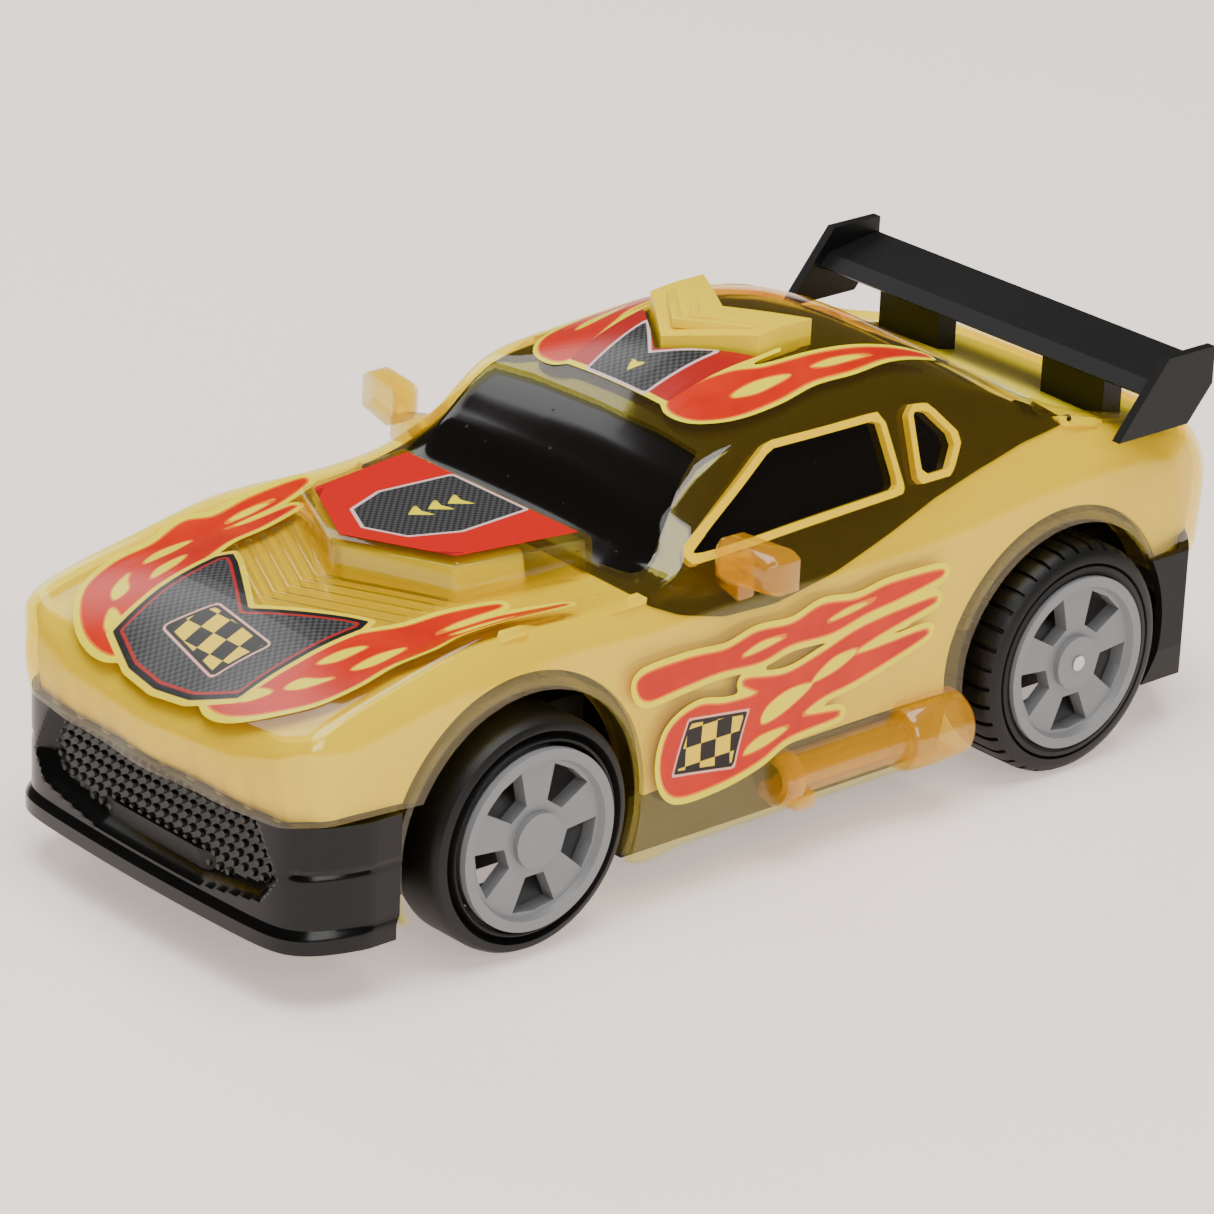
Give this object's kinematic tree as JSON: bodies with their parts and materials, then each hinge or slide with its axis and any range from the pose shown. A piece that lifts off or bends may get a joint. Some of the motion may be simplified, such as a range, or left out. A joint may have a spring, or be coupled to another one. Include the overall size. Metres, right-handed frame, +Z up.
{
  "type": "pull back toy car",
  "caption": "Pull back toy sports car with a translucent shell, rear spring motor, separate wheels and a sprung roof button.",
  "frame": {"origin": "on the ground under the middle of the car, halfway between the axles", "axes": "+Z up, the car faces -Y, +X is the car's left side"},
  "size_m": [0.0944, 0.193, 0.0735],
  "materials": {
    "clear_amber": "glossy translucent amber moulded plastic",
    "cream_plastic": "satin cream plastic",
    "smoked_black": "glossy black plastic panes",
    "black_plastic": "satin black plastic",
    "grey_plastic": "satin grey plastic",
    "tyre": "soft black rubber",
    "yellow_plastic": "glossy yellow plastic",
    "sticker_film": "printed glossy film",
    "steel": "plain steel",
    "board": "green circuit board",
    "lamp_clear": "clear lamp resin",
    "motor_plastic": "natural white plastic",
    "gear_plastic": "white acetal plastic"
  },
  "bodies": {
    "car_body": {"body_shell": "clear_amber", "front_bumper": "black_plastic", "rear_bumper": "black_plastic", "body_liner": "cream_plastic", "window_insert": "smoked_black", "mirror_left": "clear_amber", "mirror_right": "clear_amber", "spoiler": "black_plastic", "hood_sticker": "sticker_film", "scoop_sticker": "sticker_film", "roof_sticker": "sticker_film", "side_sticker_left": "sticker_film", "side_sticker_right": "sticker_film", "chassis": "black_plastic", "chassis_screws": "steel", "battery_door": "black_plastic", "battery_door_screw": "steel", "button_cells": "steel", "battery_contacts": "steel", "light_carrier": "cream_plastic", "light_board": "board", "switch_housing": "black_plastic", "lamps": "lamp_clear", "button_spring": "steel", "motor_case": "motor_plastic", "motor_cover": "motor_plastic", "motor_screws": "steel", "mainspring": "steel"},
    "front_wheels": {"front_axle": "steel", "front_rim_left": "grey_plastic", "front_rim_right": "grey_plastic", "front_tyre_left": "tyre", "front_tyre_right": "tyre"},
    "rear_wheels": {"rear_axle": "steel", "rear_rim_left": "grey_plastic", "rear_rim_right": "grey_plastic", "rear_tyre_left": "tyre", "rear_tyre_right": "tyre", "axle_gear": "gear_plastic"},
    "transfer_gear": {"transfer_gear": "gear_plastic"},
    "winding_gear": {"winding_gear": "gear_plastic"},
    "roof_button": {"roof_button": "yellow_plastic", "switch_plunger": "black_plastic"}
  },
  "joints": [
    {"name": "front_wheels_roll", "type": "hinge", "parent": "car_body", "child": "front_wheels", "pos_m": [0, -0.054, 0.0185], "axis": [1, 0, 0], "continuous": true},
    {"name": "rear_wheels_roll", "type": "hinge", "parent": "car_body", "child": "rear_wheels", "pos_m": [0, 0.054, 0.0185], "axis": [1, 0, 0], "continuous": true},
    {"name": "transfer_gear_spin", "type": "hinge", "parent": "car_body", "child": "transfer_gear", "pos_m": [0, 0.0444, 0.0185], "axis": [1, 0, 0], "continuous": true},
    {"name": "winding_gear_spin", "type": "hinge", "parent": "car_body", "child": "winding_gear", "pos_m": [0, 0.03505, 0.0239], "axis": [1, 0, 0], "continuous": true},
    {"name": "roof_button_press", "type": "slide", "parent": "car_body", "child": "roof_button", "axis": [0, 0, -1], "range_m": [0, 0.002], "stiffness_N_per_m": 400, "springref_m": -0.001, "deforming": ["button_spring"]}
  ],
  "couplings": [
    {"joint": "transfer_gear_spin", "follows": "rear_wheels_roll", "ratio": -0.45455},
    {"joint": "winding_gear_spin", "follows": "rear_wheels_roll", "ratio": 0.17483}
  ]
}
